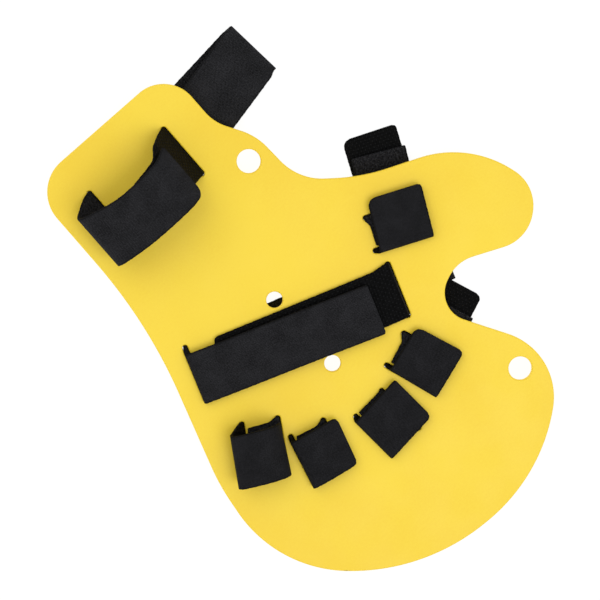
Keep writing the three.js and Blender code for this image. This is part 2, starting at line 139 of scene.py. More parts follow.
def photo_camera():
    """The way to the eye leans by VIEW_TILT from straight up towards the wrist. The picture is then
    rolled until the wrist-to-fingertips axis points FINGERS_RIGHT across and FINGERS_DOWN down."""
    tilt = math.radians(VIEW_TILT)
    toward_eye = Vector((0, -math.sin(tilt), math.cos(tilt)))
    level_right = Vector((1, 0, 0))
    level_up = toward_eye.cross(level_right)
    roll = math.atan2(FINGERS_RIGHT, -FINGERS_DOWN)
    right = math.cos(roll) * level_right + math.sin(roll) * level_up
    up = -math.sin(roll) * level_right + math.cos(roll) * level_up
    place = Vector(VIEW_TARGET) + VIEW_DISTANCE * toward_eye
    lens = bpy.data.cameras.new("photo_camera")
    lens.sensor_width = SENSOR
    lens.lens = SENSOR * VIEW_DISTANCE / (PIXEL_SIZE * FRAME_PIXELS)
    lens.clip_end = FAR_CLIP
    eye = bpy.data.objects.new("photo_camera", lens)
    turn = Matrix((right, up, toward_eye)).transposed().to_4x4()
    eye.matrix_world = Matrix.Translation(place * MM) @ turn
    bpy.context.scene.collection.objects.link(eye)
    bpy.context.scene.camera = eye
    print("camera lens in mm:", round(lens.lens, 1))


photo_camera()

# %% [markdown]
# Shader maths in words
# A finish is a small sum of patterns. One class wraps a node's output so that + and * write Math
# nodes, and one method makes every other node, so each finish below reads as a formula.


# %% Wires and finishes
# Places in the nodes' lists of sockets. Mix has several sockets of one name, for each kind of value
OBJECT_COORDS = 3
MIX_SHARE, MIX_LOW, MIX_HIGH = 0, 6, 7
MIX_COLOUR = 2


class Wire:
    """The output of one node. Sums and products of wires and numbers add their Math nodes."""

    def __init__(self, finish, socket):
        self.finish = finish
        self.socket = socket

    def maths(self, operation, *values):
        return self.finish.node("ShaderNodeMath", {"operation": operation}, dict(enumerate(values)))

    def __add__(self, other):
        return self.maths("ADD", self, other)

    def __mul__(self, other):
        return self.maths("MULTIPLY", self, other)

    __radd__ = __add__
    __rmul__ = __mul__

    def sine(self):
        return self.maths("SINE", self)

    def size(self):
        return self.maths("ABSOLUTE", self)

    def larger(self, other):
        return self.maths("MAXIMUM", self, other)


class Finish:
    """A material and the nodes that feed its shader."""

    def __init__(self, name):
        self.material = bpy.data.materials.new(name)
        self.material.use_nodes = True
        self.tree = self.material.node_tree
        self.shader = self.tree.nodes["Principled BSDF"]

    def node(self, kind, settings=None, inputs=None, output=0):
        """Adds a node: first its settings, then the value or the wire of each socket. Gives the
        wire of one output."""
        made = self.tree.nodes.new(kind)
        for key, value in (settings or {}).items():
            setattr(made, key, value)
        for key, value in (inputs or {}).items():
            self.put(made.inputs[key], value)
        return Wire(self, made.outputs[output])

    def put(self, socket, value):
        if isinstance(value, Wire):
            self.tree.links.new(value.socket, socket)
        else:
            socket.default_value = value

    def set(self, **values):
        """Sets the shader's own sockets; an underscore stands for a space in a socket's name."""
        for key, value in values.items():
            self.put(self.shader.inputs[key.replace("_", " ")], value)

    def noise(self, place, scale, detail=2.0, roughness=0.5):
        """A cloudy pattern from 0 to 1, with scale waves in each unit of place."""
        inputs = {"Vector": place, "Scale": scale, "Detail": detail, "Roughness": roughness}
        return self.node("ShaderNodeTexNoise", None, inputs)

    def blend(self, share, low, high):
        """A colour between two: Mix with the share as its factor."""
        inputs = {MIX_SHARE: share, MIX_LOW: low, MIX_HIGH: high}
        return self.node("ShaderNodeMix", {"data_type": "RGBA"}, inputs, MIX_COLOUR)

    def object_place(self):
        return self.node("ShaderNodeTexCoord", output=OBJECT_COORDS)

    def between(self, value, low, high, to_low=0.0, to_high=1.0):
        """A smooth step: to_low where the value is under low, to_high where it is over high."""
        inputs = {"Value": value, "From Min": low, "From Max": high, "To Min": to_low, "To Max": to_high}
        return self.node("ShaderNodeMapRange", {"interpolation_type": "SMOOTHSTEP"}, inputs)

    def bump(self, height, strength, distance, normal=None):
        inputs = {"Height": height, "Strength": strength, "Distance": distance}
        if normal is not None:
            inputs["Normal"] = normal
        return self.node("ShaderNodeBump", None, inputs)

    def done(self):
        """The material, once its nodes are all in."""
        print(f"{self.material.name}: {len(self.tree.nodes)} nodes")
        return self.material


def linear(red, green, blue):
    """A screen colour, 0 to 255, as the linear colour that a shader takes: the display's own
    curve, which is a straight line near black and a power of 2.4 above it."""
    share = np.array([red, green, blue]) / 255.0
    value = np.where(share <= 0.04045, share / 12.92, ((share + 0.055) / 1.055) ** 2.4)
    return (*value.tolist(), 1.0)


# %% [markdown]
# The yellow sheet
# The board is cut from a sheet of smooth plastic. Up close such a sheet isn't quite even: its
# colour drifts a little, its gloss is broken by faint rubbing, and its surface has a very low
# orange-peel ripple. The patterns are on Object coordinates, because the board never bends.


# %% The board's finish
DEEP_YELLOW = linear(251, 214, 48)
PALE_YELLOW = linear(255, 222, 56)
# Waves in a metre
SLOW_DRIFT = 14.0
FINE_DRIFT = 900.0
RUBBED_PATCHES = 45.0
ORANGE_PEEL = 420.0
MARK_WAVES = (30.0, 1400.0, 30.0)
MARK_TURN = 0.6
# Roughness of the clean and of the rubbed patches, and what a mark adds
SHEET_ROUGHNESS = (0.42, 0.54)
MARK_ROUGHNESS = 0.08
# Depths in metres
PEEL_DEPTH = 0.00012
MARK_DEPTH = 0.00004
PLASTIC_IOR = 1.5


def yellow_sheet():
    """Colour: two near yellows, mixed by a slow noise and a fine one. Gloss: roughness from a
    middle noise. Bump: a low ripple plus hair-thin rub marks, which are a noise stretched long."""
    finish = Finish("yellow_sheet")
    place = finish.object_place()
    slow = finish.noise(place, SLOW_DRIFT, 3.0)
    fine = finish.noise(place, FINE_DRIFT)
    drift = finish.between(slow * 0.75 + fine * 0.25, 0.35, 0.65)
    colour = finish.blend(drift, DEEP_YELLOW, PALE_YELLOW)
    long_way = {"Vector": place, "Rotation": (0, 0, MARK_TURN), "Scale": MARK_WAVES}
    stretched = finish.node("ShaderNodeMapping", None, long_way)
    marks = finish.between(finish.noise(stretched, 1.0), 0.68, 0.78)
    rubbed = finish.between(finish.noise(place, RUBBED_PATCHES, 3.0), 0.3, 0.7, *SHEET_ROUGHNESS)
    finish.set(Base_Color=colour, Roughness=rubbed + marks * MARK_ROUGHNESS, IOR=PLASTIC_IOR)
    ripple = finish.bump(finish.noise(place, ORANGE_PEEL), 0.12, PEEL_DEPTH)
    finish.set(Normal=finish.bump(marks, 0.15, MARK_DEPTH, ripple))
    return finish.done()


YELLOW_SHEET = yellow_sheet()

# %% [markdown]
# The outline of the board
# The mitten shape has broad curves for the heel of the hand and the fingertips, a lobe for the
# thumb, and a tight notch for the web between thumb and index finger. Straight sides with a
# radius at each corner describe it with a short table, as a pattern maker would.

# %% Outline, holes and slots
# The most that one side of an arc turns, in radians, and its longest run in millimetres
OUTLINE_TURN = 0.04
OUTLINE_STEP = 3.0
NO_BEND = 1e-3
NEXT_TO_NOTHING = 1e-6
HOLE_SIDES = 64
SLOT_END_SIDES = 16
# Corners of the outline: x is a share of the width, y and the radius are shares of the length
OUTLINE = [
    (0.2955, 0.002, 0.072),
    (-0.116, 0.0, 0.066),
    (-0.117, 0.126, 0.086),
    (-0.17, 0.193, 0.113),
    (-0.178, 0.303, 0.105),
    (-0.293, 0.374, 0.35),
    (-0.531, 0.451, 0.199),
    (-0.5868, 0.5925, 0.075),
    (-0.4925, 0.6582, 0.075),
    (-0.3305, 0.6022, 0.071),
    (-0.219, 0.641, 0.052),
    (-0.383, 0.8555, 0.124),
    (-0.155, 1.0065, 0.331),
    (0.199, 0.9975, 0.383),
    (0.451, 0.813, 0.252),
    (0.4208, 0.627, 0.414),
    (0.2976, 0.318, 0.93),
]
ROUND_HOLES = [
    (-0.119, 0.219, LARGE_HOLE),
    (-0.283, 0.827, LARGE_HOLE),
    (0.039, 0.594, SMALL_HOLE),
    (0.044, 0.438, SMALL_HOLE),
]


def turned(points, degrees):
    """Points turned about the origin: x' = x cos a - y sin a, y' = x sin a + y cos a."""
    a = math.radians(degrees)
    return points @ np.array([[math.cos(a), math.sin(a)], [-math.sin(a), math.cos(a)]])


def corner_arc(before, corner, after, radius, turn, steps):
    """An arc that rounds a corner and touches both sides: its middle lies on the bisector, at
    radius / cos(turn / 2) from the corner, and its ends at radius * tan(turn / 2) along the sides."""
    back = (before - corner) / np.linalg.norm(before - corner)
    ahead = (after - corner) / np.linalg.norm(after - corner)
    bisector = (back + ahead) / np.linalg.norm(back + ahead)
    middle = corner + bisector * radius / math.cos(turn / 2)
    first = corner + back * radius * math.tan(turn / 2) - middle
    side = 1.0 if back[0] * ahead[1] - back[1] * ahead[0] < 0 else -1.0
    angles = side * turn * np.linspace(0, 1, steps + 1)
    cos, sin = np.cos(angles), np.sin(angles)
    around = np.stack([first[0] * cos - first[1] * sin, first[0] * sin + first[1] * cos], axis=1)
    return middle + around


def rounded(corners, radii, closed, turn_step, length_step):
    """Rounds every corner of a path. Where two arcs have no room on the side between them, both
    radii are cut to fit it. The steps are the most that one side of an arc turns and runs. Gives a
    list with the points of each corner's arc."""
    count = len(corners)
    back = np.roll(corners, 1, axis=0) - corners
    ahead = np.roll(corners, -1, axis=0) - corners
    lengths = np.linalg.norm(ahead, axis=1)
    cosines = (back * ahead).sum(axis=1) / (np.linalg.norm(back, axis=1) * lengths)
    turns = math.pi - np.arccos(np.clip(cosines, -1, 1))
    if not closed:
        turns[[0, -1]] = 0
    reaches = radii * np.tan(turns / 2)
    fits = np.minimum(1, lengths / np.maximum(reaches + np.roll(reaches, -1), NEXT_TO_NOTHING))
    radii = radii * np.minimum(fits, np.roll(fits, 1))
    arcs = []
    for i in range(count):
        if turns[i] < NO_BEND or radii[i] < NO_BEND:
            arcs.append(corners[i][None, :])
            continue
        steps = max(2, math.ceil(turns[i] / turn_step), math.ceil(turns[i] * radii[i] / length_step))
        after = corners[(i + 1) % count]
        arcs.append(corner_arc(corners[i - 1], corners[i], after, radii[i], turns[i], steps))
    return arcs


def outline_path():
    table = np.array(OUTLINE)
    corners = table[:, :2] * (BOARD_WIDTH, BOARD_LENGTH)
    arcs = rounded(corners, table[:, 2] * BOARD_LENGTH, True, OUTLINE_TURN, OUTLINE_STEP)
    return np.concatenate(arcs) + (MIDDLE_LINE, WRIST_END)


def hole_path(share_x, share_y, diameter):
    """A circle: the hole's place plus its radius times (cos a, sin a)."""
    a = np.arange(HOLE_SIDES) * 2 * math.pi / HOLE_SIDES
    return plan_point(share_x, share_y) + diameter / 2 * np.stack([np.cos(a), np.sin(a)], axis=1)


def slot_path(station, side):
    """A slot with round ends: two half circles of the slot's width, set apart along it by the
    webbing's width and a little play."""
    share_x, share_y, turn, gap, width, play, shift = STATIONS[station]
    radius = SLOT_WIDTH / 2
    straight = (width + play) / 2 - radius
    a = np.linspace(0, math.pi, SLOT_END_SIDES + 1)
    end = radius * np.stack([np.cos(a), np.sin(a)], axis=1)
    ring = np.concatenate([end + (0, straight), -end - (0, straight)]) + (side * gap / 2, shift)
    return turned(ring, turn) + plan_point(share_x, share_y)


print("outline:", len(OUTLINE), "corners become", len(outline_path()), "points")

# %% [markdown]
# The board
# A cut sheet is two flat faces joined by a rim. Round each closed path a small profile is carried:
# down from the top face, over a rounded edge, along the cut wall and round again to the bottom.
# The two faces are then filled between the rims with triangles. The rounded edges matter more
# than their size: they catch the thin bright line that makes the sheet look solid.


# %% The board
RIM_STEPS = 5


def outward(path):
    """The unit normals of a closed path, to its right as it is walked: the mean of the two
    neighbouring sides' normals."""
    ahead = np.roll(path, -1, axis=0) - path
    ahead /= np.linalg.norm(ahead, axis=1)[:, None]
    both = ahead + np.roll(ahead, 1, axis=0)
    both /= np.linalg.norm(both, axis=1)[:, None]
    return np.stack([both[:, 1], -both[:, 0]], axis=1)


def signed_area(path):
    """Half the sum of the cross products of neighbouring points, above 0 if anticlockwise."""
    x, y = path.T
    return 0.5 * float((x * np.roll(y, -1) - y * np.roll(x, -1)).sum())


def rim_profile():
    """Quarter circles at the two edges with the wall between them: (inset, height) pairs."""
    a = np.linspace(0, math.pi / 2, RIM_STEPS + 1)
    upper = np.stack([EDGE_ROUND * (1 - np.sin(a)), BOARD_TOP - EDGE_ROUND * (1 - np.cos(a))], axis=1)
    lower = upper[::-1] * (1, -1) + (0, BOARD_TOP + BOARD_BOTTOM)
    return np.concatenate([upper, lower])


def tube_faces(grid):
    """Four-sided faces between neighbouring rows of point numbers, round a tube whose rows close
    on themselves: (here, beside, beside on the next row, next row)."""
    beside = np.roll(grid, -1, axis=-1)
    corners = [grid[..., :-1, :], beside[..., :-1, :], beside[..., 1:, :], grid[..., 1:, :]]
    return np.stack(corners, axis=-1).reshape(-1, 4)


def shown(name, mesh, materials):
    """Puts a mesh into the scene as a piece, with its place in its mesh."""
    piece = bpy.data.objects.new(name, mesh)
    for material in materials:
        mesh.materials.append(material)
    bpy.context.scene.collection.objects.link(piece)
    return piece


def board():
    """Carries the rim's profile round each path, then fills both faces between the rims. The
    outline is walked anticlockwise and the openings clockwise, so that the walls face outwards."""
    profile = rim_profile()
    paths = [outline_path()]
    paths += [hole_path(*hole) for hole in ROUND_HOLES]
    paths += [slot_path(station, side) for station in STATIONS for side in (-1, 1)]
    points, quads, top_rims, bottom_rims = [], [], [], []
    start = 0
    for index, path in enumerate(paths):
        if (signed_area(path) > 0) != (index == 0):
            path = path[::-1]
        inset = path[None] - outward(path)[None] * profile[:, :1, None]
        heights = np.broadcast_to(profile[:, 1, None, None], (*inset.shape[:2], 1))
        rows, count = inset.shape[:2]
        grid = start + np.arange(rows * count).reshape(rows, count)
        quads.append(tube_faces(grid)[:, [0, 3, 2, 1]])
        points.append(np.concatenate([inset, heights], axis=-1).reshape(-1, 3))
        top_rims.append(grid[0])
        bottom_rims.append(grid[-1])
        start += rows * count
    mesh = bpy.data.meshes.new("board")
    mesh.from_pydata((np.concatenate(points) * MM).tolist(), [], np.concatenate(quads).tolist())
    shape = bmesh.new()
    shape.from_mesh(mesh)
    shape.verts.ensure_lookup_table()
    walls = list(shape.faces)
    for rims, up in ((top_rims, 1), (bottom_rims, -1)):
        pairs = [(int(a), int(b)) for rim in rims for a, b in zip(rim, np.roll(rim, -1))]
        edges = [shape.edges.get((shape.verts[a], shape.verts[b])) for a, b in pairs]
        filled = bmesh.ops.triangle_fill(shape, use_beauty=True, use_dissolve=False, edges=edges)
        for face in filled["geom"]:
            if isinstance(face, bmesh.types.BMFace):
                face.normal_update()
                if face.normal.z * up < 0:
                    face.normal_flip()
    for face in walls:
        face.smooth = True
    shape.to_mesh(mesh)
    shape.free()
    piece = shown("board", mesh, [YELLOW_SHEET])
    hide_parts("splint_plate")
    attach(piece, "root")
    print("board: faces", len(mesh.polygons), "paths", len(paths))


board()

# %% [markdown]
# Webbing
# Each strap is a flat band of hook and loop tape: one face is a plain weave, the other is covered
# by tiny hooks or by soft loops. A band keeps its width and thickness wherever it bends, so it is
# made by carrying a section along a path. The path is the strap's side view: where it lies on the
# board, where it folds down through a slot, and where it runs back underneath.


# %% Paths of webbing
# The most that one side of a bend turns, in radians, and its longest run in millimetres
BAND_TURN = 0.12
BAND_STEP = 0.6


def over(layer):
    """The middle height of the webbing in a layer above the board, counted from the board."""
    return BOARD_TOP + LAYER_GAP + WEB_THICKNESS / 2 + (layer - 1) * LAYER_PITCH


def under(layer):
    """The same under the board."""
    return BOARD_BOTTOM - LAYER_GAP - WEB_THICKNESS / 2 - (layer - 1) * LAYER_PITCH


def row(x, z, shift=0.0, yaw=0.0, wide=0.0, round=BEND_RADIUS):
    """A corner of a strap's path: x along its station, z up, sideways shift, turn in the flat,
    extra width and the bend's radius."""
    return (x, z, shift, yaw, wide, round)


def smooth_through(places, values, at):
    """A smooth curve through values at rising places: on each stretch, rise * (3 t t - 2 t t t)
    plus a bend from the slopes at its ends. A slope is the harmonic mean of the slopes beside it,
    or 0 at a turning point, so the curve never swings past its values."""
    steps = np.maximum(np.diff(places), NEXT_TO_NOTHING)
    slopes = np.diff(values) / steps
    before = np.concatenate([slopes[:1], slopes])
    after = np.concatenate([slopes, slopes[-1:]])
    product = before * after
    tangents = np.where(product > 0, 2 * product / np.where(product > 0, before + after, 1), 0)
    i = np.clip(np.searchsorted(places, at) - 1, 0, len(steps) - 1)
    t = np.clip((at - places[i]) / steps[i], 0, 1)
    bend = t * (1 - t) * ((1 - t) * tangents[i] - t * tangents[i + 1]) * steps[i]
    return values[i] + (values[i + 1] - values[i]) * t * t * (3 - 2 * t) + bend


def band_path(rows):
    """Rounds the corners, then fills each straight stretch with points no further apart than
    BAND_STEP. Shift, turn and extra width follow smooth curves through the middles of the bends.
    Gives columns x, z, shift, turn, extra width and the run from the path's start, and the runs at
    the middles of the bends."""
    table = np.array(rows, dtype=float)
    arcs = rounded(table[:, :2], table[:, 5], False, BAND_TURN, BAND_STEP)
    parts = [arcs[0]]
    ends = [(0, 0)]
    for arc in arcs[1:]:
        last = parts[-1][-1]
        count = max(1, math.ceil(np.linalg.norm(arc[0] - last) / BAND_STEP))
        parts.append(last + (arc[0] - last) * np.linspace(0, 1, count + 1)[1:-1, None])
        first = sum(len(part) for part in parts)
        parts.append(arc)
        ends.append((first, first + len(arc) - 1))
    path = np.concatenate(parts)
    run = np.concatenate([[0], np.cumsum(np.linalg.norm(np.diff(path, axis=0), axis=1))])
    middles = np.array([(run[a] + run[b]) / 2 for a, b in ends])
    traits = [smooth_through(middles, table[:, k], run) for k in (2, 3, 4)]
    return np.column_stack([path, *traits, run]), middles


SAMPLE_RUN = 20
sample, _ = band_path([row(0, over(1)), row(SAMPLE_RUN, over(1))])
print("a straight", SAMPLE_RUN, "mm of webbing takes", len(sample), "rows of points")

# %% [markdown]
# Section and cut ends
# Cut across, webbing is a flat strip whose two long edges, the selvedges, are rounded. Its ends are
# cut with scissors: the corners are a little round, and threads come loose from the weave. Each
# loose thread is a rod with a few faces, because there are over a thousand of them. All chance
# comes from one seeded generator, so that every run gives the same threads.

# %% Section and cut ends
ACROSS_STEPS = 28
EDGE_STEPS = 4


def section():
    """The webbing's section: a flat face, a round selvedge, the other face and the other selvedge.
    Gives (share of the half width, share of the half thickness, selvedge inset) rows."""
    flat = np.linspace(-1, 1, ACROSS_STEPS + 1)
    level = np.ones(ACROSS_STEPS + 1)
    a = np.linspace(0, math.pi, EDGE_STEPS + 1)[1:-1]
    edge = np.ones(EDGE_STEPS - 1)
    lower = np.column_stack([flat, -level, 0 * level])
    right = np.column_stack([edge, -np.cos(a), np.sin(a)])
    upper = np.column_stack([flat[::-1], level, 0 * level])
    left = np.column_stack([-edge, np.cos(a), np.sin(a)])
    return np.concatenate([lower, right, upper, left])


def half_width(half, round, distance):
    """Half the width at a distance from an end with a rounded corner:
    half - r + sqrt(r r - (r - d)(r - d)) while d is under r."""
    near = np.clip(distance, 0, round)
    return half - round + np.sqrt(np.maximum(round * round - (round - near) ** 2, 0))


FIBRE_SIDES = 3
FIBRE_RINGS = 4
# How far a fibre starts inside the band, and the range of its radius, in millimetres
FIBRE_ROOT = 0.3
FIBRE_RADIUS = (0.03, 0.055)
# Shares of the half width, of the thickness and of the longest fibre, and what the tip's radius
# loses
FIBRE_SPREAD = 0.97
FIBRE_DEPTH = 0.4
FIBRE_LENGTH = (0.5, 1)
FIBRE_TAPER = 0.6
# How widely the fibres lean, and how widely they bend across the band and up from it
FIBRE_LEAN = 0.35
FIBRE_BEND = (0.3, 0.25)
CHANCE = np.random.default_rng(7)


def fibres(place, out, across, up, half, count, long):
    """Loose fibres of a cut end: thin tapered rods that start inside the band's end and bend as
    they leave it. Rod(t) = root + direction * length * t + bend * t * t, with t from 0 to 1. A rod
    that would sink into the floor is lifted onto it.
    Gives the points and the faces, each rod closed by a face at both ends."""
    spread = CHANCE.uniform(-FIBRE_SPREAD, FIBRE_SPREAD, count)[:, None]
    depth = CHANCE.uniform(-FIBRE_DEPTH, FIBRE_DEPTH, count)[:, None]
    root = place + across * half * spread + up * WEB_THICKNESS * depth - out * FIBRE_ROOT
    lean = CHANCE.normal(0, FIBRE_LEAN, (count, 2))
    direction = out + across * lean[:, :1] + up * lean[:, 1:]
    aside = CHANCE.normal(0, FIBRE_BEND[0], (count, 1))
    bend = across * aside + up * CHANCE.normal(0, FIBRE_BEND[1], (count, 1))
    length = CHANCE.uniform(*FIBRE_LENGTH, (count, 1)) * long + FIBRE_ROOT
    radius = CHANCE.uniform(*FIBRE_RADIUS, (count, 1))
    t = np.linspace(0, 1, FIBRE_RINGS)
    reach = direction[:, None] * (length * t)[..., None]
    middle = root[:, None] + reach + bend[:, None] * (t * t)[:, None]
    turns = 2 * math.pi * np.arange(FIBRE_SIDES) / FIBRE_SIDES
    ring = np.cos(turns)[:, None] * across + np.sin(turns)[:, None] * np.cross(out, across)
    thin = radius * (1 - FIBRE_TAPER * t)
    points = middle[:, :, None] + ring * thin[..., None, None]
    points[..., 2] -= np.minimum(points[..., 2].min(axis=(1, 2)), 0)[:, None, None]
    grid = np.arange(count * FIBRE_RINGS * FIBRE_SIDES).reshape(count, FIBRE_RINGS, FIBRE_SIDES)
    faces = tube_faces(grid).tolist() + grid[:, 0, ::-1].tolist() + grid[:, -1].tolist()
    return points.reshape(-1, 3), faces


print("section:", len(section()), "points, fibres:", FIBRE_SIDES * FIBRE_RINGS, "points each")

# %% [markdown]
# A band of webbing
# The section is carried along the path, row by row, and both ends are closed. The mesh also gets
# two maps, because a pattern on webbing has to follow it round every bend: one map runs along and
# across the band, the other says how far the nearest selvedge and the nearest cut end are.

# %% A band of webbing
# The selvedge's depth as a share of the thickness
SELVEDGE_ROUND = 0.15
# How much the selvedges waver, in millimetres, and how fast the two waves run, in radians for each
# millimetre
WAVER = 0.04
WAVER_RATES = (1.3, 3.1)


def lay_map(mesh, name, first, second):
    """Gives the mesh a map from two numbers at each point, in millimetres."""
    corner = np.empty(len(mesh.loops), dtype=np.int32)
    mesh.loops.foreach_get("vertex_index", corner)
    layer = mesh.uv_layers.new(name=name)
    layer.data.foreach_set("uv", np.stack([first[corner], second[corner]], axis=1).ravel())


def directions(path):
    """Along the path in the side view, then up from the band and across it, as unit vectors."""
    ahead = np.gradient(path[:, :2], axis=0)
    ahead /= np.linalg.norm(ahead, axis=1)[:, None]
    zero = np.zeros(len(path))
    angle = np.radians(path[:, 3])
    up = np.stack([-ahead[:, 1], zero, ahead[:, 0]], axis=1)
    across = np.stack([-np.sin(angle), np.cos(angle), zero], axis=1)
    return ahead, up, across


def tufts(middle, ahead, across, up, widths, loose, start):
    """The loose fibres of both ends. Gives their points, and their faces with the points numbered
    from start."""
    points, faces = [], []
    for end, sign in ((0, -1), (-1, 1)):
        out = sign * np.array([ahead[end, 0], 0, ahead[end, 1]])
        half = (widths[0][end] + widths[1][end]) / 2
        more, rods = fibres(middle[end], out, across[end], up[end], half, *loose)
        faces += [[start + corner for corner in face] for face in rods]
        points.append(more)
        start += len(more)
    return np.concatenate(points), faces


def face_kinds(run, around, bends, hook_from):
    """The material of each face of the walls: 0 on the path's left, 1 on its right, and 2 on the
    left past the bend hook_from."""
    column = np.tile(np.arange(around), len(run) - 1)
    kind = np.where((column > ACROSS_STEPS) & (column < around - EDGE_STEPS + 1), 0, 1)
    if hook_from is None:
        return kind
    late = np.repeat(run[:-1], around) > bends[hook_from]
    return np.where(late & (kind == 0), 2, kind)


def webbing(name, node, station, rows, ends, materials, loose, hook_from=None):
    """A band along a path. Point (s, v): path(s) + across(s) * width * v + normal(s) * thickness.
    ends are the rounds of each end's two corners. Materials are the face on the path's left (its
    upper side at first) and the one on its right; past the bend hook_from, the left face takes the
    third material. loose is the number and the length of the loose fibres at each cut end."""
    share_x, share_y, turn, _, width, _, _ = STATIONS[station]
    path, bends = band_path(rows)
    x, z, shift, _, wide, run = path.T
    ahead, up, across = directions(path)
    half = (width + wide) / 2
    widths = [np.minimum(half_width(half, first, run), half_width(half, last, run[-1] - run))
              for first, last in zip(*ends)]
    shape = section()
    selvedge = SELVEDGE_ROUND * WEB_THICKNESS
    slow, fast = WAVER_RATES
    waver = WAVER * (np.sin(run * slow + len(name)) + np.sin(run * fast))[:, None]
    flat = np.where(shape[:, 0] < 0, widths[0][:, None], widths[1][:, None]) - selvedge + waver
    sideways = flat * shape[:, 0] + selvedge * np.sign(shape[:, 0]) * shape[:, 2]
    middle = np.stack([x, shift, z], axis=1)
    points = (middle[:, None] + across[:, None] * sideways[..., None]
              + up[:, None] * (WEB_THICKNESS / 2 * shape[:, 1])[None, :, None]).reshape(-1, 3)
    threads, rods = tufts(middle, ahead, across, up, widths, loose, len(points))
    points = np.concatenate([points, threads])
    plan = turned(points[:, :2], turn) + plan_point(share_x, share_y)
    points = np.column_stack([plan, points[:, 2]])
    rows_count, around = len(x), len(shape)
    grid = np.arange(rows_count * around).reshape(rows_count, around)
    mesh = bpy.data.meshes.new(name)
    faces = tube_faces(grid).tolist() + [grid[0, ::-1].tolist(), grid[-1].tolist()] + rods
    mesh.from_pydata((points * MM).tolist(), [], faces)
    extra = np.zeros(len(threads))
    runs = np.concatenate([np.repeat(run, around), extra])
    sides = np.concatenate([np.tile(shape[:, 0], rows_count) * width / 2, extra])
    lay_map(mesh, "webbing", runs, sides)
    to_side = np.concatenate([(half[:, None] - np.abs(sideways)).ravel(), extra])
    lay_map(mesh, "rim", to_side, np.minimum(runs, run[-1] - runs))
    kind = np.concatenate([face_kinds(run, around, bends, hook_from), (0, 0), np.ones(len(rods))])
    piece = shown(name, mesh, materials)
    mesh.polygons.foreach_set("material_index", kind.astype(np.int32))
    mesh.polygons.foreach_set("use_smooth", np.ones(len(faces), dtype=bool))
    mesh.validate()
    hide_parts(node)
    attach(piece, "root")
    print(f"{name}: {run[-1]:.1f} mm long, {len(faces)} faces")


# %% [markdown]
# The faces of hook and loop tape
# The plain face is woven: yarns along the band pass over and under yarns across it. The hook face
# is darker, because light is caught between its stiff little hooks. The loop face is a soft felt
# of broken rings. All three are read off the band's own map, in millimetres along and across it,
# so that the weave follows every fold.

# %% Webbing finishes
# Pitches, and the widths of the rims, in millimetres: the painted shade along the selvedges and the frayed
# band at a cut end
YARN_ALONG = 1.0
YARN_ACROSS = 0.8
EDGE_SHADE = 1.3
CUT_END = 1.6
HOOK_ROW = 1.5
HOOK_PITCH = 1.1
# Dark and light of each face, and its pale threads
CLOTH_DARK = (10, 10, 11)
CLOTH_LIGHT = (52, 52, 55)
CLOTH_THREAD = (112, 112, 116)
HOOK_DARK = (2, 2, 2)
HOOK_LIGHT = (24, 24, 25)
FELT_DARK = (6, 6, 7)
FELT_LIGHT = (50, 50, 53)
FELT_THREAD = (122, 122, 126)
# Depths in metres
WEAVE_DEPTH = 0.0003
HOOK_DEPTH = 0.0006
FELT_DEPTH = 0.0008


def map_parts(finish, name):
    """One of a band's two maps, in millimetres: as a vector, and its two parts."""
    place = finish.node("ShaderNodeUVMap", {"uv_map": name})
    parts = [finish.node("ShaderNodeSeparateXYZ", None, {0: place}, k) for k in (0, 1)]
    return place, *parts


def woven_face(name, darker):
    """Height = the larger of two yarn ripples, |sin(u)| * |sin(v)| and the same half a step on, which
    is a plain weave. Colour is lighter on the yarns' crowns and darker between them, a painted
    highlight and painted shade from the weave's height. It is lighter on stray pale fibres, speckled
    by a fine noise, and darker towards the selvedges, painted shade along the band's edges. The light
    colour loses darker steps of 255."""
    finish = Finish(name)
    place, along, across = map_parts(finish, "webbing")
    _, to_side, to_end = map_parts(finish, "rim")
    wobble = finish.noise(place, 0.5) * 0.8
    u = (along + wobble) * (math.pi / YARN_ALONG)
    v = (across + wobble) * (math.pi / YARN_ACROSS)
    over_yarn = u.sine().size() * v.sine().size()
    under_yarn = (u + math.pi / 2).sine().size() * (v + math.pi / 2).sine().size()
    weave = over_yarn.larger(under_yarn * 0.8)
    speckle = finish.noise(place, 1.3, 3.0, 0.65)
    slow = finish.noise(place, 0.1)
    # Painted shade: the colour darkens towards both selvedges, and the weave's low places are darker than
    # its crowns, which carry a painted highlight
    body = finish.between(to_side, 0.2, EDGE_SHADE, 0.35, 1.0)
    share = finish.between(weave * 0.45 + speckle * 0.9 + slow * 0.35, 0.55, 1.3) * body
    pale = finish.between(finish.noise(place, 2.6), 0.66, 0.74)
    frayed = finish.between(to_end, 0.0, CUT_END, 0.5, 0.12)
    light = [level - darker for level in CLOTH_LIGHT]
    cloth = finish.blend(share, linear(*CLOTH_DARK), linear(*light))
    finish.set(Base_Color=finish.blend(pale * frayed, cloth, linear(*CLOTH_THREAD)))
    finish.set(Roughness=finish.between(weave, 0.0, 1.0, 0.9, 0.7), Specular_IOR_Level=0.09)
    finish.set(Normal=finish.bump(weave + speckle * 0.6, 0.8, WEAVE_DEPTH))
    return finish.done()


